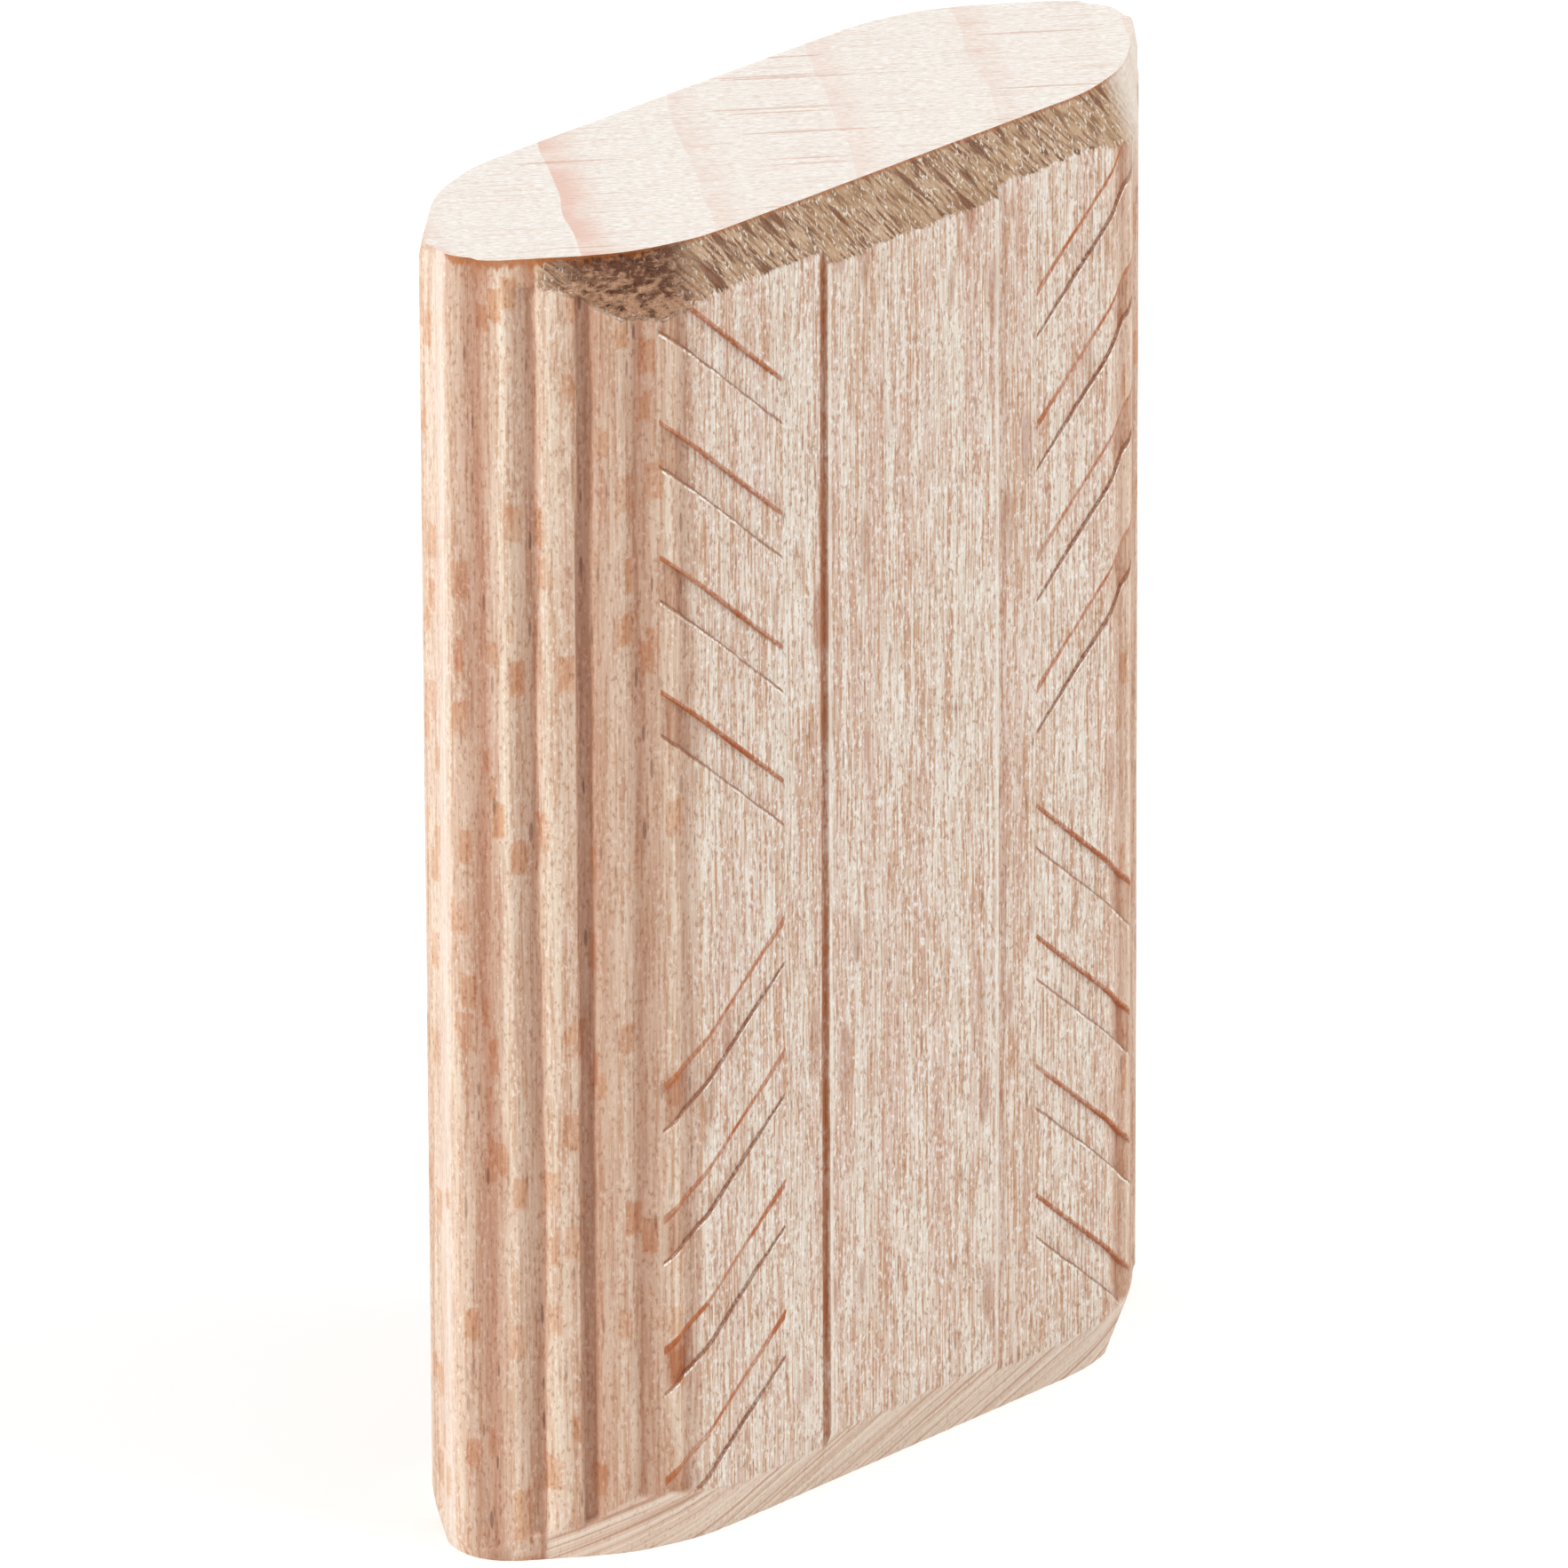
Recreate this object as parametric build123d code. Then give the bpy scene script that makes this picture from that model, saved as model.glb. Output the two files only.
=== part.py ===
from build123d import *
import math
import os

# A loose tenon of beech: a flat stick that is glued into two mortises. It stands on one end,
# grain along Z, with its broad faces towards -Y and +Y. All sizes are in millimetres.

# Overall sizes
length = 31.5
width = 22.0
thickness = 8.0

# Section: two rounded sides, each a tip arc, a slanting flank and a shoulder arc
flank_angle = 42.0
tip_radius = 2.0
shoulder_radius = 3.0

# Raised band along the middle of each broad face
band_width = 5.8
band_rise = 0.1

# Glue flutes along the rounded sides; the last one is the outer edge of the side panel
first_flute = 0.6
flute_pitch = 1.2
flute_radius = 0.36
flute_depth = 0.2
flutes_per_quarter = 5
ridge_radius = 0.1

# End chamfers: deep on the broad faces and shoulders, fading out towards the tips
chamfer_length = 1.25
chamfer_depth = 0.43
end_flank_angle = 38.7
end_tip_radius = 1.6
end_shoulder_radius = 6.0
tip_relief = 0.02
nose_flare = 0.375

# Slanting glue pockets, in chevrons that point to the middle of the length. Their floors run
# down from the panel to the flutes, and the columns on the right start nearer the middle.
pocket_angle = 40.5
pocket_height = 1.05
pocket_pitch = 3.22
pocket_inner_depth = 0.05
pocket_outer_depth = 0.3
left_pocket_start = 1.05
right_pocket_start = 0.78
pocket_gap_to_band = 1.2
pocket_overrun = 0.45
pocket_end_margin = 3.2

panel_thickness = thickness - 2 * band_rise
same_place = 0.00001


def quarter_outline(across, deep, angle, tip, shoulder):
    """A quarter of the section's outline, from a tip to the middle of a broad face."""
    tip_arc = CenterArc((across / 2 - tip, 0), tip, 0, 90 - angle)
    flank_start = tip_arc @ 1
    corner = flank_start.X - (deep / 2 - flank_start.Y) / math.tan(math.radians(angle))
    arc_middle = corner - shoulder * math.tan(math.radians(angle / 2))
    shoulder_arc = CenterArc((arc_middle, deep / 2 - shoulder), shoulder, 90 - angle, angle)
    flank = Line(flank_start, shoulder_arc @ 0)
    face = Line(shoulder_arc @ 1, (0, deep / 2))
    return Wire([tip_arc.edge(), flank.edge(), shoulder_arc.edge(), face.edge()])


def closed_outline(quarter):
    """The whole outline, mirrored from its quarter."""
    half = [quarter, quarter.mirror(Plane.YZ)]
    whole = half + [side.mirror(Plane.XZ) for side in half]
    edges = [edge for side in whole for edge in side.edges()]
    return make_face(edges)


def four_ways(shape):
    """The shape and its mirror images across both middle planes."""
    pair = [shape, shape.mirror(Plane.YZ)]
    return pair + [side.mirror(Plane.XZ) for side in pair]


rim = quarter_outline(width, panel_thickness, flank_angle, tip_radius, shoulder_radius)


def flute_centre(number):
    """Middle of a flute's arc, counted from the tip, set out so that it cuts to its depth."""
    along = first_flute + number * flute_pitch
    on_rim = rim.position_at(along, position_mode=PositionMode.LENGTH)
    tangent = rim.tangent_at(along, position_mode=PositionMode.LENGTH)
    outward = Vector(tangent.Y, -tangent.X)
    return on_rim + outward * (flute_radius - flute_depth)


def section():
    """Cross-section of the stick: rounded sides, raised bands and flutes with eased ridges."""
    profile = closed_outline(rim) + Rectangle(band_width, thickness)
    centres = [flute_centre(number) for number in range(flutes_per_quarter)]
    for centre in centres:
        profile -= four_ways(Pos(*centre) * Circle(flute_radius))

    def beside_flute(vertex):
        corner = Vector(abs(vertex.X), abs(vertex.Y))
        gaps = [abs((corner - centre).length - flute_radius) for centre in centres]
        return min(gaps) < same_place

    return fillet(profile.vertices().filter_by(beside_flute), ridge_radius)


def end_form():
    """Envelope that chamfers the ends: a tapered nose on each end and a plain middle."""
    nose_length = 2 * chamfer_length
    small = quarter_outline(width + 2 * tip_relief, panel_thickness - 2 * chamfer_depth,
                            end_flank_angle, end_tip_radius, end_shoulder_radius)
    large = quarter_outline(width + 2 * nose_flare, panel_thickness + 2 * chamfer_depth,
                            flank_angle, tip_radius, shoulder_radius)
    wide = Plane.XY.offset(nose_length) * closed_outline(large)
    nose = loft([closed_outline(small), wide], ruled=True)
    middle = extrude(wide, length - 2 * nose_length)
    upper_nose = nose.mirror(Plane.XY.offset(length / 2))
    return nose + middle + upper_nose


def pocket(row, side, half, face):
    """One pocket cutter: an upright blade that slants outwards, swept along the pocket's height."""
    inner = band_width / 2 + pocket_gap_to_band
    outer = flute_centre(flutes_per_quarter - 1).X + pocket_overrun
    start = left_pocket_start if side < 0 else right_pocket_start
    floor = [(inner, pocket_inner_depth), (outer, pocket_outer_depth)]
    profile = floor + [(outer, -thickness), (inner, -thickness)]
    slope = math.tan(math.radians(pocket_angle))

    def place(x, depth):
        z = start + row * pocket_pitch + (x - inner) * slope
        return side * x, face * (panel_thickness / 2 - depth), length / 2 + half * z

    blade = make_face(Polyline([place(x, depth) for x, depth in profile], close=True))
    return extrude(blade, amount=pocket_height, dir=(0, 0, half))


def pockets():
    """All the pockets: two columns on each broad face, mirrored about the middle of the length."""
    room = length / 2 - left_pocket_start - pocket_height - pocket_end_margin
    rows = int(room / pocket_pitch) + 1
    return [pocket(row, side, half, face)
            for row in range(rows) for side in (-1, 1) for half in (-1, 1) for face in (-1, 1)]


stick = extrude(section(), length)
tenon = (stick & end_form()) - pockets()

os.makedirs("parts", exist_ok=True)
export_step(tenon, "parts/tenon.step")
print(f"tenon {tenon.bounding_box().size}, volume {tenon.volume:.1f} mm3")
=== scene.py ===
import math
import bpy
import numpy as np
from mathutils import Matrix, Vector


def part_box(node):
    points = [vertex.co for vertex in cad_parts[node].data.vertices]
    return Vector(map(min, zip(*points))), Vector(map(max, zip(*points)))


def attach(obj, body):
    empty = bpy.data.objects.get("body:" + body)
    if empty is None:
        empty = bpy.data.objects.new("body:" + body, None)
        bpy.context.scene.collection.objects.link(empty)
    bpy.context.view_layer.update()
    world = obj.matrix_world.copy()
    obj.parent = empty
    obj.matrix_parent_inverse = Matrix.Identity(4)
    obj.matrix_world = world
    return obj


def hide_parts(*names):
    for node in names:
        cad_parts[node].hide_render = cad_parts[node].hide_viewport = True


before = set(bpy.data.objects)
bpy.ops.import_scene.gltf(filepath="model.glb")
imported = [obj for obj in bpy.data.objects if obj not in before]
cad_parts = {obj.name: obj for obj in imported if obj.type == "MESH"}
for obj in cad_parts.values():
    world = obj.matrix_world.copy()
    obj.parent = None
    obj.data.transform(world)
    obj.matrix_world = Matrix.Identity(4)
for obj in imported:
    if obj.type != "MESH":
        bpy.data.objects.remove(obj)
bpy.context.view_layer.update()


# The tenon is one stick of beech, moulded along the grain and sawn off to length. Its rounded
# sides carry glue flutes, each broad face has a raised band between two panels, and slanting
# glue pockets are pressed into the panels. Both ends are chamfered so that they start easily.

millimetre = 0.001
low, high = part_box("tenon")
length, width, thickness = ((high[axis] - low[axis]) / millimetre for axis in (2, 0, 1))
half_length = length / 2
surface_inset = 0.004
band_half_width = 2.9
band_rise = 0.1
band_edge = 0.03
panel_half = thickness / 2 - band_rise
flank_angle = math.radians(42.0)
tip_radius = 2.0
shoulder_radius = 3.0
fixed_seed = 22


def rim(along, half_width, half_depth, angle, tip, shoulder):
    """Points and outward normals on a quarter outline, from its tip to the middle of a broad face."""
    tip_length = tip * (math.pi / 2 - angle)
    start = np.array([half_width - tip + tip * math.sin(angle), tip * math.cos(angle)])
    corner = start[0] - (half_depth - start[1]) / math.tan(angle)
    middle = corner - shoulder * math.tan(angle / 2)
    shoulder_drop = shoulder * (1 - math.cos(angle))
    finish = np.array([middle + shoulder * math.sin(angle), half_depth - shoulder_drop])
    flank_length = np.linalg.norm(finish - start)
    shoulder_length = shoulder * angle
    on_tip = np.clip(along, 0, tip_length)
    on_flank = np.clip(along - tip_length, 0, flank_length)
    on_shoulder = np.clip(along - tip_length - flank_length, 0, shoulder_length)
    on_face = np.maximum(along - tip_length - flank_length - shoulder_length, 0)
    turned = on_tip / tip + on_shoulder / shoulder
    past = along > tip_length + flank_length
    x = np.where(past, middle + shoulder * np.cos(turned), half_width - tip + tip * np.cos(turned))
    y = np.where(past, half_depth - shoulder + shoulder * np.sin(turned), tip * np.sin(turned))
    x = x - on_face - np.where(past, 0, on_flank * math.cos(angle))
    y = y + np.where(past, 0, on_flank * math.sin(angle))
    return np.stack([x, y], -1), np.stack([np.cos(turned), np.sin(turned)], -1)


def stick_rim(along):
    """The stick's own outline, before flutes and band."""
    return rim(along, width / 2, panel_half, flank_angle, tip_radius, shoulder_radius)


def rim_length():
    """Length of a quarter of the stick's outline."""
    far = tip_radius + 2 * width
    points, _ = stick_rim(np.array([far]))
    return far + points[0, 0]


quarter = rim_length()

# Columns of points run along the stick at these places round a quarter of the outline. They lie
# close together on the fluted side, and the band's edge has two of its own
fluted_girth = 5.9
pocket_gap = 1.2
band_start = quarter - band_half_width
pockets_end = band_start - pocket_gap
fluted_columns = 100
pocket_columns = 20
gap_columns = 9
band_columns = 15
places = np.concatenate([
    np.linspace(0, fluted_girth, fluted_columns, endpoint=False),
    np.linspace(fluted_girth, pockets_end, pocket_columns, endpoint=False),
    np.linspace(pockets_end, band_start - band_edge, gap_columns, endpoint=False),
    [band_start - band_edge, band_start],
    np.linspace(band_start + 2 * band_edge, quarter, band_columns)])
inwards = np.arange(len(places))
outline_columns = [(-1, -1, i) for i in inwards]
outline_columns += [(1, -1, i) for i in inwards[-2::-1]]
outline_columns += [(1, 1, i) for i in inwards[1:]]
outline_columns += [(-1, 1, i) for i in inwards[-2:0:-1]]
side = np.array([column[0] for column in outline_columns])
face = np.array([column[1] for column in outline_columns])
along = places[[column[2] for column in outline_columns]]
points, normals = stick_rim(along)
points *= np.stack([side, face], -1)
normals *= np.stack([side, face], -1)
across = np.abs(points[:, 0])
front_girth = np.where(side < 0, along, 2 * quarter - along)
back_girth = np.where(side > 0, 2 * quarter + along, 4 * quarter - along)
girth = np.where(face < 0, front_girth, back_girth)


def uneven(up, around_spacing, up_spacing, seed):
    """Seeded smooth values from 0 to 1, in lumps of these sizes round and along the stick."""
    count = round(4 * quarter / around_spacing)
    around_cells = np.broadcast_to(girth / (4 * quarter) * count, up.shape)
    up_cells = (up + half_length) / up_spacing
    knots = np.random.default_rng(seed).uniform(0, 1, (count, int(length / up_spacing) + 3))
    i, j = around_cells.astype(int), up_cells.astype(int)
    u, v = around_cells - i, up_cells - j
    u, v = u * u * (3 - 2 * u), v * v * (3 - 2 * v)
    here, beside = i % count, (i + 1) % count
    lower = knots[here, j] * (1 - u) + knots[beside, j] * u
    upper = knots[here, j + 1] * (1 - u) + knots[beside, j + 1] * u
    return lower * (1 - v) + upper * v


# Moulded flutes: each falls from the tip's side to its floor and rises to a rounded land. Their
# colour is darkened brown, partly burnish from the cutter and partly painted shade, with a margin
# on each side. All run in order from the tip
flute_ends = (0.85, 2.1, 3.31, 4.4, 5.5)
flute_floors = (0.05, 0.06, 0.27, 0.1, 0.08)
flute_falls = (0.7, 0.6, 0.07, 0.3, 0.2)
flute_rises = (0.4, 0.1, 0.08, 0.5, 0.3)
flute_depths = (0.14, 0.2, 0.22, 0.13, 0.07)
flute_leans = (0.1, 0.04, 0.0, 0.0, 0.0)
land_drop = 0.045
land_round = 0.34
flute_waver = 0.08
flute_ripple = 0.032
waver_length = 4.0
ripple_length = 0.7
burnish_and_shade_lefts = (0.9, 0.68, 1.0, 0.45, 0.3)
burnish_and_shade_rights = (0.55, 0.12, 1.3, 0.8, 0.4)
burnish_and_shade_shares = (0.84, 0.72, 0.56, 0.76, 0.56)
floor_shares = (0.0, 0.08, 0.27, 0.06, 0.0)
floor_edge = 0.07
margin_power = 0.75


def flutes_at(up):
    """Depth of the flutes below the outline, and how much burnish and painted shade darken them, at
    heights from mid-length.
    """
    depth = np.zeros(up.shape)
    margins = np.zeros(up.shape)
    floors = np.zeros(up.shape)
    for number, end in enumerate(flute_ends):
        floor, rise, deepest = flute_floors[number], flute_rises[number], flute_depths[number]
        waver = (uneven(up, 2 * quarter, waver_length, fixed_seed + number) - 0.5) * flute_waver
        waver += (uneven(up, 2 * quarter, ripple_length, fixed_seed + 10 + number) - 0.5) * flute_ripple
        beyond = along - end + flute_leans[number] * up / half_length + waver
        fallen = np.clip((beyond + floor) / flute_falls[number] + 1, 0, 1)
        fallen = fallen * fallen * (3 - 2 * fallen)
        risen = np.clip(beyond / rise, 0, 1)
        rounded = np.clip((beyond - rise) / land_round, 0, 1)
        edge = land_drop * (1 - rounded) ** 2
        climbed = deepest + (edge - deepest) * risen
        depth = np.maximum(depth, np.where(beyond < 0, deepest * fallen, climbed))
        depth = np.where(beyond > rise, np.maximum(depth, edge), depth)
        near = np.minimum(beyond / burnish_and_shade_lefts[number] + 1, 1 - beyond / burnish_and_shade_rights[number])
        margins = np.maximum(margins, burnish_and_shade_shares[number] * np.clip(near, 0, 1) ** margin_power)
        on_floor = np.minimum((beyond + floor) / floor_edge + 1, 1 - beyond / floor_edge)
        floors = np.maximum(floors, floor_shares[number] * np.clip(on_floor, 0, 1))
    return depth, margins + floors


on_band = np.clip((along - band_start) / band_edge, 0, 1)

# End chamfers: the end outline that they leave, and how far down the stick they reach
chamfer_depth = 0.43
tip_relief = 0.02
nose_flare = 0.375
nose_run = 2.5
end_flank_angle = math.radians(38.7)
end_tip_radius = 1.6
end_shoulder_radius = 6.0
end_outline = (width / 2 + tip_relief, panel_half - chamfer_depth, end_flank_angle,
               end_tip_radius, end_shoulder_radius)
flare_outline = (width / 2 + nose_flare, panel_half + chamfer_depth, flank_angle,
                 tip_radius, shoulder_radius)
least_crease = 0.03
tip_nose_share = 0.78
tip_nose_end = 2.8
tip_nose_fade = 1.2
crease_tears = {-1: 0.04, 1: 0.14}
tear_widths = (0.28, 0.12)
crease_blend = 0.12


def gap_to(outline):
    """How far the stick's outline lies outside another outline, at each column."""
    own_points, own_normals = stick_rim(along)
    close_places = np.linspace(0, quarter + 1, 4000)
    others, _ = rim(close_places, *outline)
    offsets = others[None, :, :] - own_points[:, None, :]
    nearest = np.argmin((offsets ** 2).sum(-1), axis=1)
    found = offsets[np.arange(len(along)), nearest]
    return -(found * own_normals).sum(-1)


end_cut = gap_to(end_outline)
flare = -gap_to(flare_outline)

# The lower chamfer bites deeper on two opposite flanks, most of all on the right
right_bite, left_bite = 0.45, 0.25
bite_end = 5.2
bite_fade = 1.5
round_tip = np.clip((bite_fade - side * face * along) / (2 * bite_fade), 0, 1)
deeper = np.where(side > 0, right_bite, left_bite) * round_tip
deeper *= np.clip((bite_end - along) / bite_fade, 0, 1)
end_cuts = {-1: end_cut + deeper, 1: end_cut}


def crease(end_sign):
    """How far each column's chamfer reaches from one end, with an uneven edge."""
    end = np.full(len(along), end_sign * half_length)
    own_cut = end_cuts[end_sign]
    reach = nose_run * (own_cut + band_rise * on_band) / (own_cut + flare)
    past_tip = np.clip((along - tip_nose_end) / tip_nose_fade, 0, 1)
    reach *= tip_nose_share + (1 - tip_nose_share) * past_tip
    torn = uneven(end, tear_widths[0], 1.0, fixed_seed + 40 + end_sign) - 0.5
    torn += (uneven(end, tear_widths[1], 1.0, fixed_seed + 50 + end_sign) - 0.5) * 0.5
    return np.clip(reach * (1 + crease_tears[end_sign] * torn), least_crease, None)


# Glue pockets: floors that run down from the panel to the flutes, in chevrons
pocket_slope = math.tan(math.radians(40.5))
pocket_height = 1.05
pocket_pitch = 3.22
pocket_rows = 4
pocket_starts = {-1: 1.05, 1: 0.78}
pocket_inner = band_half_width + pocket_gap
pocket_outer = 7.9
pocket_depth = 0.1
rising_share = 0.65
pocket_wall = 0.035
pocket_tear = 0.02
tear_width = 0.2
tip_end = 4.9
shear = pocket_slope * (np.clip(across, pocket_inner, pocket_outer) - pocket_inner)
shear *= np.clip(along / tip_end, 0, 1)
centre_blend = np.clip(points[:, 0] / (2 * pocket_inner) + 0.5, 0, 1)
starts = pocket_starts[-1] + (pocket_starts[1] - pocket_starts[-1]) * centre_blend
pocket_fade = 1.4
pocket_bow = 0.7
pocket_run_out = 0.35
pocket_floor = pocket_depth * np.clip((across - pocket_inner) / pocket_fade, 0, 1) ** pocket_bow
pocket_floor *= np.clip((pocket_outer - across) / pocket_run_out, 0, 1)
in_pockets = (across > pocket_inner) & (across < pocket_outer)


def pocket_edges(row, end_sign):
    """Heights of a pocket's two long edges, from mid-length. The one below is torn."""
    near = starts + row * pocket_pitch + shear
    far = near + pocket_height
    level = np.full(len(along), near.min())
    tear = uneven(level, tear_width, 1.0, fixed_seed + 60 + row + 10 * end_sign) - 0.5
    tear *= 2 * pocket_tear
    return (near + tear, far) if end_sign > 0 else (near, far + tear)


# Rows of points run round the stick and follow the pockets' edges: so many up to each pocket,
# down each wall, over the floor, from the last pocket to the chamfer, and over the chamfer
approach_rows = 6
wall_rows = 1
floor_rows = 5
margin_rows = 8
chamfer_rows = {-1: 12, 1: 26}
least_step = 0.01


def half_rows(end_sign):
    """Heights of the rows of points in one half, from mid-length to the end."""
    last_rows = chamfer_rows[end_sign]
    last = half_length - crease(end_sign)
    marks = [(np.zeros(len(along)), 0)]
    for row in range(pocket_rows):
        near, far = pocket_edges(row, end_sign)
        marks.append((near, approach_rows))
        marks.append((near + pocket_wall, wall_rows))
        marks.append((far - pocket_wall, floor_rows))
        marks.append((far, wall_rows))
    marks.append((last, margin_rows))
    marks.append((np.full(len(along), half_length), last_rows))
    rows_left = sum(count for _, count in marks)
    heights = [marks[0][0]]
    for mark, count in marks[1:]:
        rows_left -= count
        latest = last - least_step * (rows_left - last_rows)
        stop = mark if rows_left < last_rows else np.minimum(mark, latest)
        begin = heights[-1]
        heights += [begin + (stop - begin) * (step + 1) / count for step in range(count)]
    return heights


upper = half_rows(1)
lower = half_rows(-1)
heights = np.array([-row for row in lower[::-1]] + upper[1:])
row_count, column_count = heights.shape
is_upper = heights > 0
from_end = half_length - np.abs(heights)
creases = np.where(is_upper, crease(1), crease(-1))
flutes, burnish_and_shade = flutes_at(heights)
base = flutes - band_rise * on_band
cuts = np.where(is_upper, end_cuts[1], end_cuts[-1])
plane = (1 - from_end / creases) * (np.maximum(cuts, 0) + band_rise * on_band) - band_rise * on_band
past_crease = np.clip((creases - from_end) / crease_blend, 0, 1)
chamfered = base + (np.maximum(plane, -band_rise * on_band) - base) * past_crease

# Pockets, and how far each point lies above the pocket edges nearest to it
far_off = 0.6
within = np.zeros(heights.shape)
upper_edge = np.full(heights.shape, far_off)
lower_edge = np.full(heights.shape, far_off)
edge_sides = ((upper_edge, 1), (lower_edge, -1))
for end_sign in (-1, 1):
    own_half = is_upper == (end_sign > 0)
    for row in range(pocket_rows):
        near, far = pocket_edges(row, end_sign)
        inside = np.minimum(np.abs(heights) - near, far - np.abs(heights)) / pocket_wall
        within = np.maximum(within, np.clip(inside, 0, 1) * in_pockets * own_half)
        for line, edge_side in edge_sides:
            offset = heights - end_sign * (far if edge_side == end_sign else near)
            closer = (np.abs(offset) < np.abs(line)) & own_half & in_pockets
            line[closer] = offset[closer]

# The pockets that rise to the right are shallower, and their outer ends are painted darker brown
end_brown_begin = 7.1
end_brown_fades = (0.3, 0.15)
rising = np.where(is_upper, points[:, 0] > 0, points[:, 0] < 0)
pressed = within * pocket_floor * np.where(rising, rising_share, 1) * (1 - past_crease)
pocket_end_brown = within * np.clip((across - end_brown_begin) / end_brown_fades[0], 0, 1)
pocket_end_brown *= np.clip((pocket_outer - across) / end_brown_fades[1], 0, 1)

# The saw crushed the upper chamfer, most of all on the left shoulder. On the right shoulder it
# is less bruised and painted pale, painted light where it turns to the lamps. The lower chamfer is
# clean
least_bevel = 0.15
bevel_growth = 0.3
bevel_start = 2.12
bevel_start_blend = 0.12
past_crease *= np.clip((creases - least_bevel) / bevel_growth, 0, 1)
past_crease *= np.clip((along - bevel_start) / bevel_start_blend, 0, 1)
far_shoulder_end = 5.6
far_shoulder_fade = 1.2
far_shoulder_bevel = 0.25
far_shoulder = np.clip((far_shoulder_end - along) / far_shoulder_fade, 0, 1) * (side > 0) * (face < 0)
top_bevel = past_crease * is_upper * (1 - (1 - far_shoulder_bevel) * far_shoulder)
foot_bevel = past_crease * ~is_upper
crushed_middle = 4.3
crushed_reach = 2.2
crushed_gain = 1.8
near_shoulder = np.clip(1 - np.abs(along - crushed_middle) / crushed_reach, 0, 1)
crushed = np.clip(near_shoulder * (side < 0) * (face < 0) * crushed_gain, 0, 1) * top_bevel
stroke_relief = 0.04
stroke_size = (0.13, 0.38)
lump_relief = 0.14
lump_size = (0.24, 0.12)
small_lump_size = (0.12, 0.08)
small_lump_share = 0.5
even_rim = 0.12
strokes = uneven(heights, *stroke_size, fixed_seed + 80)
lumps = uneven(heights, *lump_size, fixed_seed + 81)
lumps += small_lump_share * uneven(heights, *small_lump_size, fixed_seed + 82)
rough = top_bevel * stroke_relief * strokes + crushed * lump_relief * lumps
rough *= np.clip(from_end / even_rim, 0, 1)

# The whole surface is a little wavy
long_wave_relief = 0.012
long_wave_size = (0.5, 5.0)
short_wave_relief = 0.008
short_wave_size = (0.15, 1.6)
waves = long_wave_relief * uneven(heights, *long_wave_size, fixed_seed + 83)
waves += short_wave_relief * uneven(heights, *short_wave_size, fixed_seed + 84)

depth = chamfered + pressed + rough + waves + surface_inset
grid_x = points[:, 0] - normals[:, 0] * depth
grid_y = points[:, 1] - normals[:, 1] * depth
grid_z = heights + half_length
vertices = np.stack([grid_x, grid_y, grid_z], -1).reshape(-1, 3) * millimetre
polygons = []
for row in range(row_count - 1):
    for column in range(column_count):
        beside = (column + 1) % column_count
        here, above = row * column_count, (row + 1) * column_count
        polygons.append((here + column, here + beside, above + beside, above + column))
side_faces = len(polygons)
polygons.append(tuple(range(column_count))[::-1])
polygons.append(tuple(range((row_count - 1) * column_count, row_count * column_count)))

sharp_angle = math.radians(50)
mesh = bpy.data.meshes.new("tenon_wood")
mesh.from_pydata(vertices.tolist(), [], polygons)
mesh.validate()
mesh.shade_smooth()
mesh.set_sharp_from_angle(angle=sharp_angle)

# What the material has to know about each point
flank_end = 6.3
flank_fade = 0.9
left_front_end = 5.4
left_front_fade = 0.8
tip_girth = 1.2
tip_start = 0.2
tip_burnish_and_shade = 0.15
shoulder_light_full = 0.75
shoulder_light_end = 2.0
on_flank = np.clip((flank_end - along) / flank_fade, 0, 1)
on_left_front = np.clip((left_front_end - along) / left_front_fade, 0, 1) * (side < 0) * (face < 0)
# The back of the tip carries a painted highlight
on_back_tip = np.clip(np.minimum(along / tip_start, tip_girth - along), 0, 1) * (face > 0)
burnish_and_shade *= np.where((face > 0) & (along < tip_girth), tip_burnish_and_shade, 1.0)
far_shoulder_light_reach = np.clip((shoulder_light_end - from_end / creases) / (shoulder_light_end - shoulder_light_full), 0, 1)
painted_values = {
    "flank": np.broadcast_to(on_flank, heights.shape),
    "left_front": np.broadcast_to(on_left_front, heights.shape),
    "burnish_and_shade": burnish_and_shade,
    "tip_edge": np.broadcast_to(on_back_tip, heights.shape),
    "lumps": np.clip(lumps / (1 + small_lump_share), 0, 1),
    "pocket_end_brown": pocket_end_brown * (1 - past_crease),
    "far_shoulder_light": far_shoulder * far_shoulder_light_reach * is_upper,
    "top_bevel": top_bevel,
    "foot_bevel": foot_bevel,
    "crushed": crushed,
    "upper_gap": np.abs(upper_edge),
    "lower_edge": lower_edge,
    "lower_gap": np.abs(lower_edge),
}
for name, values in painted_values.items():
    attribute = mesh.attributes.new(name, "FLOAT", "POINT")
    attribute.data.foreach_set("value", values.astype(np.float32).ravel())
tenon = bpy.data.objects.new("tenon_wood", mesh)
bpy.context.scene.collection.objects.link(tenon)


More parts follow.
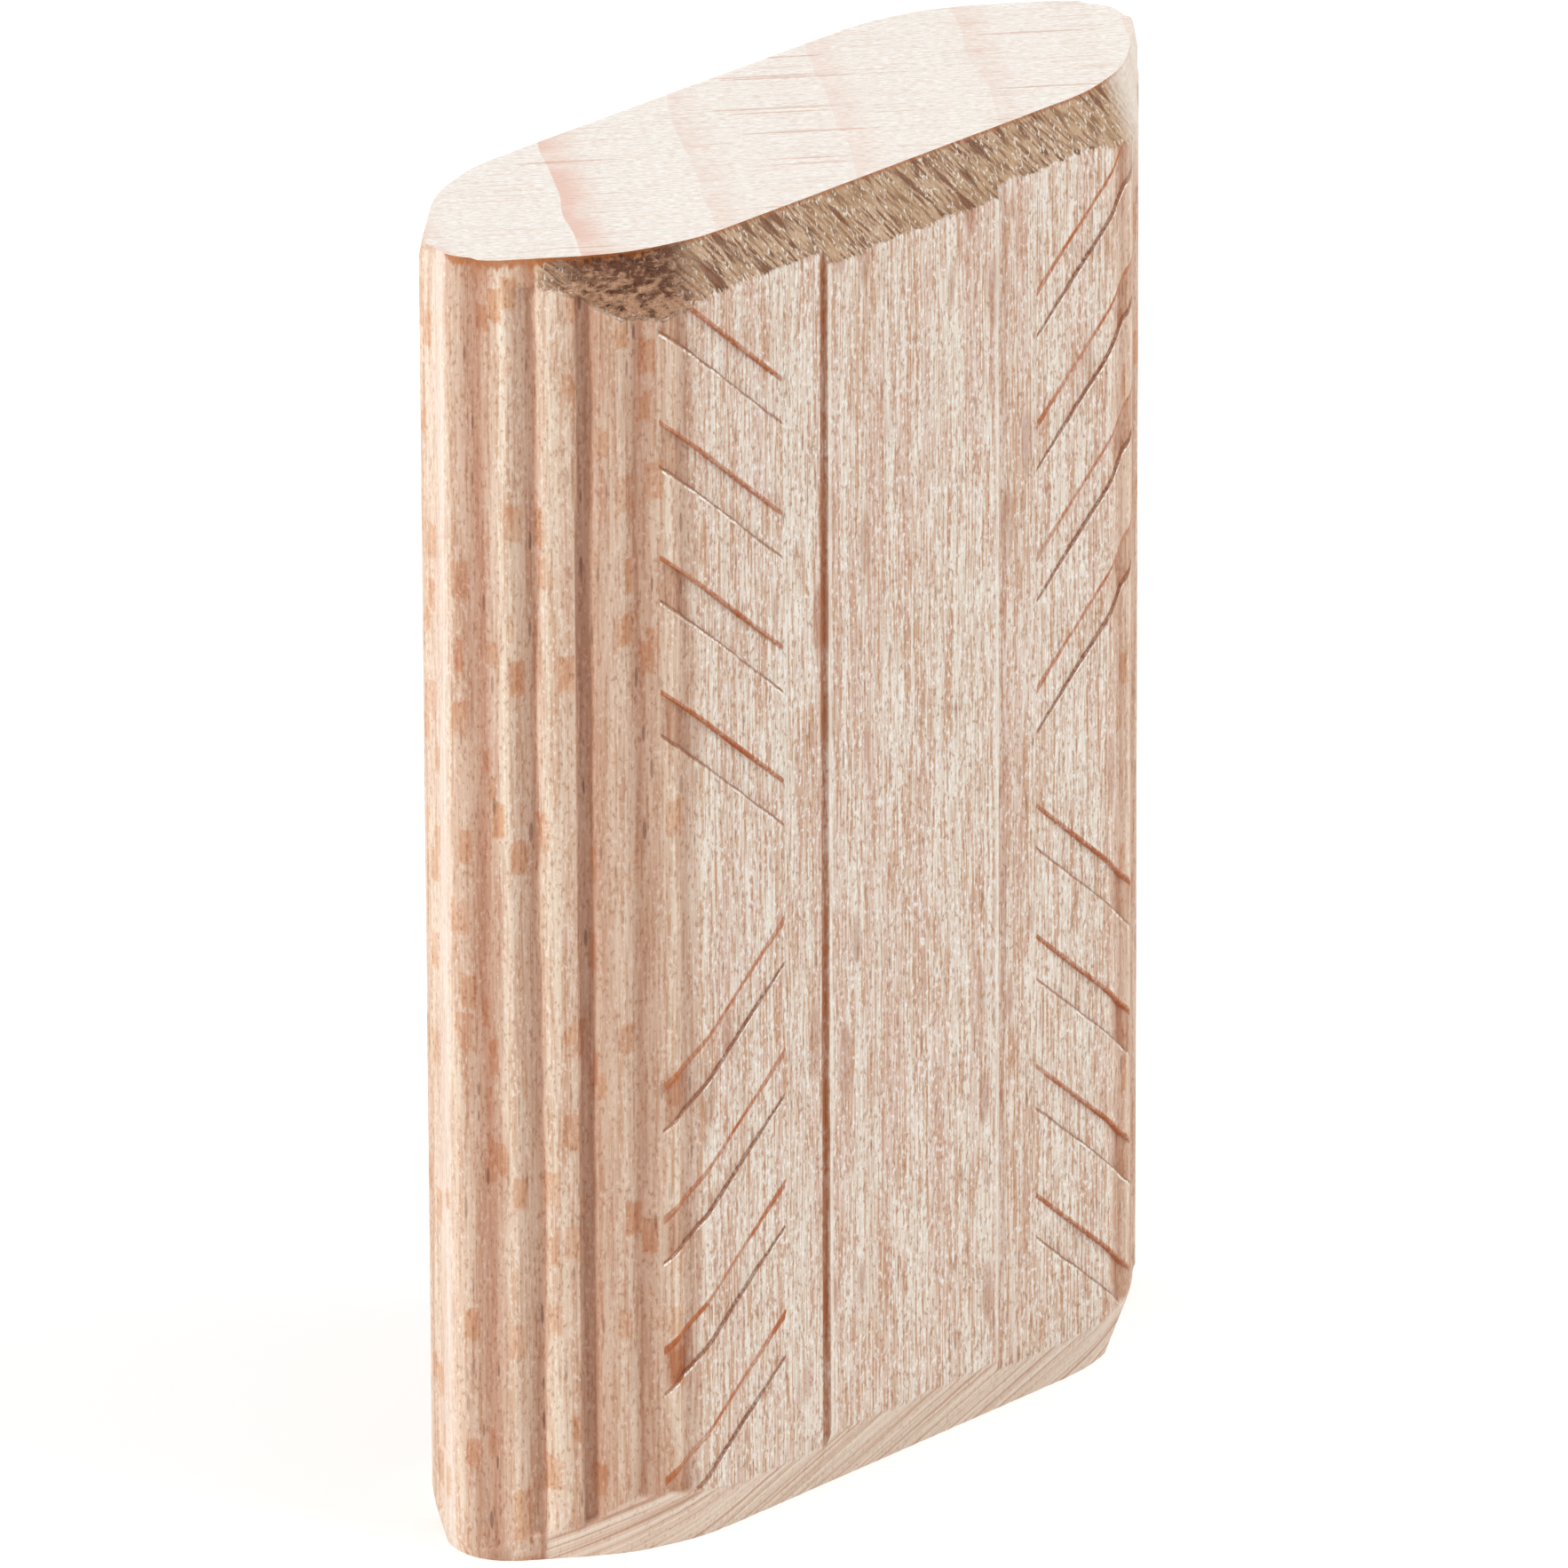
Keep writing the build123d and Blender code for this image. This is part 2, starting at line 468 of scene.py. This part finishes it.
class Shade:
    """An output of a shader node. Sums on it add Math nodes, and node() adds any other node."""

    def __init__(self, tree, socket=None):
        self.tree = tree
        self.socket = socket

    def node(self, kind, settings, values, output=0):
        made = self.tree.nodes.new(kind)
        for name, value in settings.items():
            setattr(made, name, value)
        for name, value in values.items():
            if isinstance(value, Shade):
                self.tree.links.new(value.socket, made.inputs[name])
            else:
                made.inputs[name].default_value = value
        return Shade(self.tree, made.outputs[output])

    def math(self, operation, *values):
        return self.node("ShaderNodeMath", {"operation": operation}, dict(enumerate(values)))

    def __add__(self, other):
        return self.math("ADD", self, other)

    def __sub__(self, other):
        return self.math("SUBTRACT", self, other)

    def __rsub__(self, other):
        return self.math("SUBTRACT", other, self)

    def __mul__(self, other):
        return self.math("MULTIPLY", self, other)

    def __abs__(self):
        return self.math("ABSOLUTE", self)

    __radd__ = __add__
    __rmul__ = __mul__

    def scaled(self, sizes):
        """This position, in cells of these sizes."""
        shares = tuple(1 / size for size in sizes)
        return self.node("ShaderNodeVectorMath", {"operation": "MULTIPLY"}, {0: self, 1: shares})

    def noise(self, sizes, detail=2.0):
        """Soft uneven values, from 0 to 1, in cells of these sizes."""
        return self.node("ShaderNodeTexNoise", {}, {"Vector": self.scaled(sizes), "Scale": 1.0,
                                                    "Detail": detail, "Roughness": 0.6})

    def flecks(self, sizes, share, reach, uneven_edge, distance="EUCLIDEAN"):
        """1 inside flecks in a share of the cells of these sizes, which reach so far into them."""
        flat = len(sizes) == 2
        settings = {"distance": distance, "voronoi_dimensions": "2D" if flat else "3D"}
        place = self.scaled(sizes + (1.0,) if flat else sizes)
        cell = self.node("ShaderNodeTexVoronoi", settings, {"Vector": place, "Scale": 1.0}, "Distance")
        chances = Shade(self.tree, cell.socket.node.outputs["Color"])
        chance = self.node("ShaderNodeSeparateXYZ", {}, {0: chances}, 0)
        own_size = self.node("ShaderNodeSeparateXYZ", {}, {0: chances}, 1)
        chosen = self.math("LESS_THAN", chance, share)
        own_reach = (own_size * 0.5 + 1.05 - uneven_edge * 0.7) * reach
        return (own_reach - cell).between(0, reach * 0.3) * chosen

    def between(self, begin, finish):
        """0 below begin and 1 above finish, or the other way round, with a smooth change."""
        return self.node("ShaderNodeMapRange", {"interpolation_type": "SMOOTHSTEP"},
                         {"Value": self, "From Min": begin, "From Max": finish})

    def stained(self, share, stain):
        """This colour under a share of a stain that multiplies it."""
        return self.node("ShaderNodeMix", {"data_type": "RGBA", "blend_type": "MULTIPLY"},
                         {0: share, 6: self, 7: stain}, 2)

    def tint(self, below, above):
        """This share of one colour over another."""
        return self.node("ShaderNodeMix", {"data_type": "RGBA"}, {0: self, 6: below, 7: above}, 2)


def colour(red, green, blue):
    """A colour as it looks, 0 to 255 in each channel, as the light that it gives back."""
    shares = [channel / 255 for channel in (red, green, blue)]
    return tuple(((share + 0.055) / 1.055) ** 2.4 for share in shares) + (1.0,)


per_millimetre = 1 / millimetre
ray_direction = math.radians(39.3)
ring_spacing = 3.65
ring_offset = 2.15
ring_bend = 0.5
ring_bend_size = (6, 3, 30)
ring_widening = 0.5
wider_rings = (-3.4, -4.4)


def wood_place(tree):
    """Position in the tree: millimetres along the rays, along the rings and up the grain."""
    place = Shade(tree).node("ShaderNodeTexCoord", {}, {}, "Object")
    return place.node("ShaderNodeMapping", {}, {"Vector": place, "Rotation": (0, 0, ray_direction),
                                                "Scale": (per_millimetre,) * 3})


def part_of(place, axis):
    """One coordinate of a position."""
    return place.node("ShaderNodeSeparateXYZ", {}, {0: place}, axis)


def painted(tree, name):
    """A value that the mesh carries at its points."""
    return Shade(tree).node("ShaderNodeAttribute", {"attribute_name": name}, {}, "Fac")


def new_material(name):
    """A material with a rough, dull surface, and its node tree and shader."""
    material = bpy.data.materials.new(name)
    material.use_nodes = True
    shader = material.node_tree.nodes["Principled BSDF"]
    shader.inputs["Specular IOR Level"].default_value = 0.35
    return material, material.node_tree, shader


def link(tree, value, socket):
    tree.links.new(value.socket, socket)


def ring_shade(wood):
    """Pinkish late wood: sharp on the side of the bark, fading towards the next ring."""
    bend = wood.noise(ring_bend_size, 1.0) * ring_bend
    outer = part_of(wood, 0).between(*wider_rings) * ring_widening
    phase = (part_of(wood, 0) - outer + ring_offset + bend) * (1 / ring_spacing)
    return 1 - phase.math("FRACT", phase)


long_grain, tree, shader = new_material("beech_long_grain")
wood = wood_place(tree)
object_place = Shade(tree).node("ShaderNodeTexCoord", {}, {}, "Object")
flank = painted(tree, "flank")
left_front = painted(tree, "left_front")
burnish_and_shade = painted(tree, "burnish_and_shade")
tip_edge = painted(tree, "tip_edge")
lumps_up = painted(tree, "lumps")
top_bevel = painted(tree, "top_bevel")
foot_bevel = painted(tree, "foot_bevel")
crushed = painted(tree, "crushed")
late = ring_shade(wood)
speckle = wood.noise((0.07, 0.07, 0.17), 1.0)
line_run = wood.noise((0.9, 0.9, 1.4), 1.0)
wrinkles = wood.noise((0.2, 0.2, 0.09), 2.0)

# Fibres: long pale and tan threads, in pinkish and cream bands, with short dark pores and painted
# white glints
tan_fibre = colour(201, 156, 124)
pale_fibre = colour(243, 233, 219)
tan_thread = colour(198, 146, 108)
pale_thread = colour(244, 235, 222)
pinkish_band = colour(214, 176, 158)
cream_band = colour(238, 229, 214)
brown_speck = colour(168, 112, 78)
white_glint = colour(255, 253, 249)
dark_pore = colour(150, 98, 66)
fibres = wood.noise((0.055, 0.055, 1.4), 3.0)
threads = wood.noise((0.12, 0.12, 3.4), 1.0)
streaks = wood.noise((0.4, 0.34, 11.0), 1.0)
pores = wood.flecks((0.17, 0.17, 1.0), 0.3, 0.25, speckle)
tone = fibres.between(0.35, 0.61).tint(tan_fibre, pale_fibre)
tone = (threads.between(0.55, 0.66) * 0.6).tint(tone, tan_thread)
tone = (threads.between(0.44, 0.32) * 0.5).tint(tone, pale_thread)
tone = (streaks.between(0.5, 0.64) * 0.4).tint(tone, pinkish_band)
tone = (streaks.between(0.46, 0.34) * 0.35).tint(tone, cream_band)
tone = (speckle.between(0.58, 0.68) * 0.6).tint(tone, brown_speck)
# Painted glints: pale specks of light on the fibres
tone = (speckle.between(0.42, 0.32) * 0.7).tint(tone, white_glint)
tone = (pores * 0.5).tint(tone, dark_pore)

# The moulded flanks are smoother and yellower, with painted glints, and darker brown in the flutes,
# where burnish and painted shade are laid into the colour
smooth_pale = colour(241, 219, 194)
smooth_tan = colour(212, 171, 140)
smooth_fibre = colour(246, 229, 207)
smooth_streak = colour(230, 202, 176)
smooth_brown_speck = colour(172, 122, 88)
smooth_glint = colour(254, 242, 226)
tip_highlight = colour(252, 242, 232)
burnish_and_shade_colour = colour(188, 144, 124)
burnished_shaded_pore = colour(96, 62, 48)
smooth = threads.between(0.34, 0.66).tint(smooth_pale, smooth_tan)
smooth = (fibres.between(0.42, 0.62) * 0.55).tint(smooth, smooth_fibre)
smooth = (streaks.between(0.42, 0.62) * 0.35).tint(smooth, smooth_streak)
smooth = (speckle.between(0.58, 0.7) * 0.45).tint(smooth, smooth_brown_speck)
# Painted glints on the flanks
smooth = (speckle.between(0.42, 0.32) * 0.5).tint(smooth, smooth_glint)
tone = (flank * 0.8).tint(tone, smooth)
# Painted highlight: a pale line down the back of the tip
tone = (tip_edge * 0.5).tint(tone, tip_highlight)
# Painted shade, with burnish, darkens the flutes, and their pores still more
burnished_and_shaded = burnish_and_shade * (0.8 + 0.4 * fibres)
tone = tone.stained(burnished_and_shaded, burnish_and_shade_colour)
tone = (pores * burnish_and_shade * 0.8).tint(tone, burnished_shaded_pore)

# Rays: brick-like patches on the flanks, and sparse spindles on the broad faces
ray_stain = colour(234, 190, 152)
spindle_brown = colour(176, 120, 88)
late_wood = colour(202, 152, 122)
patches = wood.flecks((0.6, 0.5, 1.3), 0.45, 0.34, wrinkles, "CHEBYCHEV") * flank
tone = tone.stained(patches * (0.05 + line_run), ray_stain)
spindles = wood.flecks((4.0, 0.45, 3.0), 0.3, 0.3, speckle)
spindles *= (1 - flank * 0.7) * (0.1 + 0.7 * line_run)
tone = spindles.tint(tone, spindle_brown)
tone = (late.between(0.7, 1.0) * 0.12).tint(tone, late_wood)

# The band's pressed foot is brown, more so on the left, partly painted shade under its wall, and
# its edge is pale, a painted highlight
across_place = part_of(object_place, 0) * per_millimetre
up_place = part_of(object_place, 2) * per_millimetre
off_band = abs(across_place) - band_half_width
on_left = across_place.math("LESS_THAN", across_place, 0.0)
foot_shade_brown = colour(164, 98, 58)
foot_begin = (-0.09, -0.01)
foot_finish = (0.13, 0.07)
foot_spread = 0.35
foot_reach = off_band - (1 - on_left) * line_run * foot_spread
# Painted shade, with brown from pressing, at the foot of the band's wall
band_foot_shade = off_band.between(*foot_begin) * foot_reach.between(*foot_finish) * (1 - top_bevel)
band_foot_shade *= (0.3 + 0.7 * on_left) * (0.1 + line_run + 0.5 * speckle)
tone = band_foot_shade.tint(tone, foot_shade_brown)
arris_highlight = colour(250, 241, 226)
arris_begin = (-0.2, -0.14)
arris_finish = (-0.04, -0.08)
# Painted highlight along the band's edge
band_arris_highlight = off_band.between(*arris_begin) * off_band.between(*arris_finish) * (1 - top_bevel)
tone = (band_arris_highlight * 0.55).tint(tone, arris_highlight)

# The pockets' edges and outer ends are brown: painted shadow under the upper walls and painted
# shade along the lower ones, with brown from pressing. Below lie torn pale fibres with painted glints
outer_end_brown = colour(202, 152, 118)
upper_shadow_brown = colour(180, 98, 44)
lower_shade_brown = colour(142, 82, 46)
torn_pale_glint = colour(255, 250, 238)
tone = tone.stained(painted(tree, "pocket_end_brown") * (line_run + 0.1), outer_end_brown)
line_edge = (0.095, 0.04)
broader_line = 0.05
on_upper = up_place.math("GREATER_THAN", up_place, half_length)
broader = abs(on_upper - on_left) * broader_line
# Painted shadow, with brown, along the upper edges of the pockets
upper_shadow_line = (painted(tree, "upper_gap") - broader).between(*line_edge)
upper_shadow_line *= (0.2 + 1.2 * line_run) * (0.45 + speckle)
tone = upper_shadow_line.tint(tone, upper_shadow_brown)
lower_edge = painted(tree, "lower_edge")
lower_gap = painted(tree, "lower_gap")
thin_line_edge = (0.07, 0.025)
# Painted shade, with brown, along the lower edges of the pockets
lower_shade_line = lower_gap.between(*thin_line_edge)
tone = (lower_shade_line * (0.1 + 0.6 * line_run + 0.7 * speckle)).tint(tone, lower_shade_brown)
torn_below = 0.06
torn_edge = (0.05, 0.02)
torn_reach = (0.25, 0.2)
# Torn pale fibres with painted glints below the lower edges
torn = abs(lower_edge + torn_below).between(*torn_edge) * lower_gap.between(*torn_reach)
torn *= speckle.between(0.42, 0.54) * line_run.between(0.42, 0.56)
tone = (torn * 0.9).tint(tone, torn_pale_glint)

# Upper chamfer: bruised brown, with pale specks of painted glint and slanting rays, scorched at its top
bruise_dark = colour(120, 76, 46)
bruise_pale = colour(212, 178, 146)
bruise_tan = colour(188, 150, 112)
bruise_glint = colour(246, 236, 222)
lump_pale = colour(192, 146, 114)
lump_dark = colour(104, 60, 38)
lump_glint = colour(222, 198, 178)
sheet_brown = colour(116, 66, 36)
shoulder_highlight = colour(240, 234, 222)
scorch_brown = colour(180, 108, 56)
flute_scorch = colour(172, 106, 60)
sheet_slant = 0.8
towards_back = part_of(object_place, 1).math("SIGN", part_of(object_place, 1))
slanted = across_place - towards_back * up_place * sheet_slant
sheet_place = wood.node("ShaderNodeCombineXYZ", {}, {0: slanted, 1: up_place, 2: 0.0})
sheets = sheet_place.flecks((0.5, 1.8), 0.55, 0.34, speckle, "MANHATTAN")
fibre_ends = sheet_place.noise((0.1, 0.5, 1.0), 2.0)
bruised = fibre_ends.between(0.36, 0.6).tint(bruise_dark, bruise_pale)
bruised = (line_run.between(0.42, 0.62) * 0.4).tint(bruised, bruise_tan)
# Painted glints as pale specks on the chamfer
bruised = (speckle.between(0.42, 0.32) * 0.8).tint(bruised, bruise_glint)
below_top = length - up_place
lying = (lumps_up * 0.5 + wrinkles * 0.9 - below_top * 0.2).between(0.38, 0.68)
pressed_lumps = lying.tint(lump_pale, lump_dark)
# Painted glints on the crushed lumps
pressed_lumps = (speckle.between(0.34, 0.26) * 0.5).tint(pressed_lumps, lump_glint)
bruised = crushed.tint(bruised, pressed_lumps)
bruised = (sheets * (1 - crushed) * 0.85).tint(bruised, sheet_brown)
soft_edge = (top_bevel + (speckle - 0.5) * 1.2).between(0.2, 0.75) * top_bevel.between(0.02, 0.3)
tone = (soft_edge * 0.95).tint(tone, bruised)
# Painted light: the right shoulder of the upper chamfer turns pale
far_shoulder_light = painted(tree, "far_shoulder_light")
tone = (far_shoulder_light * (0.35 + 0.7 * wrinkles)).tint(tone, shoulder_highlight)
scorch = (below_top + threads * 0.6).between(0.52, 0.38) * left_front
scorch += below_top.between(0.1, 0.04) * top_bevel * 0.7
tone = (scorch * 0.85).tint(tone, scorch_brown)
stained = (below_top + threads * 0.8).between(1.5, 0.3) * burnish_and_shade.between(0.3, 0.8) * left_front
tone = (stained * 0.5 * (1 - soft_edge)).tint(tone, flute_scorch)

# Lower chamfer: clean and pale, crossed by thin lines of the rays
clean_pale = colour(245, 230, 213)
clean_tan = colour(220, 190, 168)
crossing_brown = colour(176, 124, 96)
clean_speck = colour(190, 148, 122)
crossing_slant = 2.0
crossing = across_place + towards_back * up_place * crossing_slant
crossing_place = wood.node("ShaderNodeCombineXYZ", {}, {0: crossing, 1: up_place, 2: 0.0})
foot_sheets = crossing_place.noise((0.3, 6.0, 9.0), 2.0)
clean = foot_sheets.between(0.36, 0.64).tint(clean_pale, clean_tan)
clean = (foot_sheets.between(0.58, 0.62) * 0.55).tint(clean, crossing_brown)
clean = (speckle.between(0.58, 0.7) * 0.4).tint(clean, clean_speck)
tone = (foot_bevel * 0.9).tint(tone, clean)

long_grain_relief = 0.05 * millimetre
link(tree, tone, shader.inputs["Base Color"])
rough_shade = 0.5 + fibres * 0.2 + top_bevel * 0.12
link(tree, rough_shade, shader.inputs["Roughness"])
relief = (fibres * 0.8 + threads * 0.4) * (1 - flank * 0.4) + speckle * (0.25 + top_bevel * 1.3)
relief += crushed * wrinkles * 3.5
bump = relief.node("ShaderNodeBump", {}, {"Height": relief, "Strength": 1.0,
                                          "Distance": long_grain_relief})
link(tree, bump, shader.inputs["Normal"])

# The sawn end grain is pale, with pinkish growth rings and fine rays
sawn_tan = colour(236, 220, 206)
sawn_pale = colour(255, 252, 246)
sawn_line = colour(236, 216, 202)
ring_pink = colour(238, 200, 184)
fine_ray = colour(218, 180, 160)
long_ray = colour(216, 170, 150)
end_grain_relief = 0.04 * millimetre
first_ring_place = (-3.4, -4.2)
first_ring_gain = 0.65
end_grain, tree, shader = new_material("beech_end_grain")
wood = wood_place(tree)
fine = wood.noise((0.2, 0.05, 0.3), 2.0)
lines = wood.noise((1.4, 0.06, 0.3), 1.0)
rays = wood.flecks((2.4, 0.13), 0.3, 0.3, fine)
long_rays = wood.flecks((6.0, 0.2), 0.1, 0.3, fine)
late = ring_shade(wood)
patches = wood.noise((1.6, 1.4, 4.0), 1.0)
tone = fine.between(0.3, 0.62).tint(sawn_tan, sawn_pale)
tone = (lines.between(0.48, 0.66) * 0.45).tint(tone, sawn_line)
first_ring = part_of(wood, 0).between(*first_ring_place) * first_ring_gain + (1 - first_ring_gain)
late_share = late.between(0.7, 0.98) * patches.between(0.25, 0.55) * first_ring
tone = (late_share * (0.75 + 0.3 * lines)).tint(tone, ring_pink)
tone = (rays * 0.3).tint(tone, fine_ray)
tone = (long_rays * 0.6).tint(tone, long_ray)
link(tree, tone, shader.inputs["Base Color"])
shader.inputs["Roughness"].default_value = 0.75
relief = fine + lines * 0.6
bump = relief.node("ShaderNodeBump", {}, {"Height": relief, "Strength": 1.0,
                                          "Distance": end_grain_relief})
link(tree, bump, shader.inputs["Normal"])

mesh.materials.append(long_grain)
mesh.materials.append(end_grain)
mesh.polygons.foreach_set("material_index", [int(i >= side_faces) for i in range(len(mesh.polygons))])
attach(tenon, "root")
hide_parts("tenon")

# A plain pale floor and soft studio light: a white surround, a large key from the upper right, a
# lower lamp from the left, and a pale floor that throws light back up.

floor_mesh = bpy.data.meshes.new("floor")
floor_half = 2.0
floor_white = (0.92, 0.92, 0.92, 1)
floor_glow = (0.3, 0.3, 0.3, 1)
no_glow = (0.0, 0.0, 0.0, 1)
floor_corners = [(x * floor_half, y * floor_half, 0) for x, y in ((-1, -1), (1, -1), (1, 1), (-1, 1))]
floor_mesh.from_pydata(floor_corners, [], [(0, 1, 2, 3)])
floor = bpy.data.objects.new("floor", floor_mesh)
bpy.context.scene.collection.objects.link(floor)
pale, tree, shader = new_material("pale_floor")
shader.inputs["Base Color"].default_value = floor_white
shader.inputs["Roughness"].default_value = 1.0
shader.inputs["Specular IOR Level"].default_value = 0.0
shader.inputs["Emission Strength"].default_value = 1.0


def seen_directly(tree):
    """1 where a ray comes from the camera, a reflection or clear glass, 0 where it lights."""
    rays = Shade(tree).node("ShaderNodeLightPath", {}, {}, "Is Camera Ray")
    outputs = rays.socket.node.outputs
    return rays + Shade(tree, outputs["Is Glossy Ray"]) + Shade(tree, outputs["Is Transmission Ray"])


glow = seen_directly(tree).tint(no_glow, floor_glow)
link(tree, glow, shader.inputs["Emission Color"])
floor_mesh.materials.append(pale)

world = bpy.data.worlds.new("surround")
bpy.context.scene.world = world
world.use_nodes = True
surround = world.node_tree.nodes["Background"]
surround.inputs["Color"].default_value = (1, 1, 1, 1)
surround_strength = 0.55
strength = seen_directly(world.node_tree) * (1 - surround_strength) + surround_strength
link(world.node_tree, strength, surround.inputs["Strength"])

middle = Vector((0, 0, half_length * millimetre))


def lamp(name, towards, distance, size, energy):
    """A square soft light that faces the middle of the tenon."""
    light = bpy.data.lights.new(name, "AREA")
    light.size = size
    light.energy = energy
    stand = bpy.data.objects.new(name, light)
    bpy.context.scene.collection.objects.link(stand)
    towards = Vector(towards).normalized()
    turn = towards.to_track_quat("Z", "Y").to_matrix().to_4x4()
    stand.matrix_world = Matrix.Translation(middle + towards * distance) @ turn


lamp("key", towards=(0.4, -0.65, 0.9), distance=0.4, size=0.22, energy=0.66)
lamp("left", towards=(-0.9, 0.3, 0.4), distance=0.4, size=0.2, energy=0.85)

azimuth, elevation, roll = math.radians(-47.03), math.radians(21.83), math.radians(0.22)
back = Vector((math.sin(azimuth) * math.cos(elevation), -math.cos(azimuth) * math.cos(elevation),
               math.sin(elevation)))
camera_data = bpy.data.cameras.new("camera")
camera_data.lens = 472.4
camera_data.shift_x = -0.00105
camera_data.shift_y = -0.0041
camera_data.clip_end = 10
camera_distance = 0.46915
camera = bpy.data.objects.new("camera", camera_data)
bpy.context.scene.collection.objects.link(camera)
turn = back.to_track_quat("Z", "Y").to_matrix().to_4x4() @ Matrix.Rotation(-roll, 4, "Z")
camera.matrix_world = Matrix.Translation(middle + back * camera_distance) @ turn
bpy.context.scene.camera = camera
bpy.context.scene.view_settings.view_transform = "Standard"
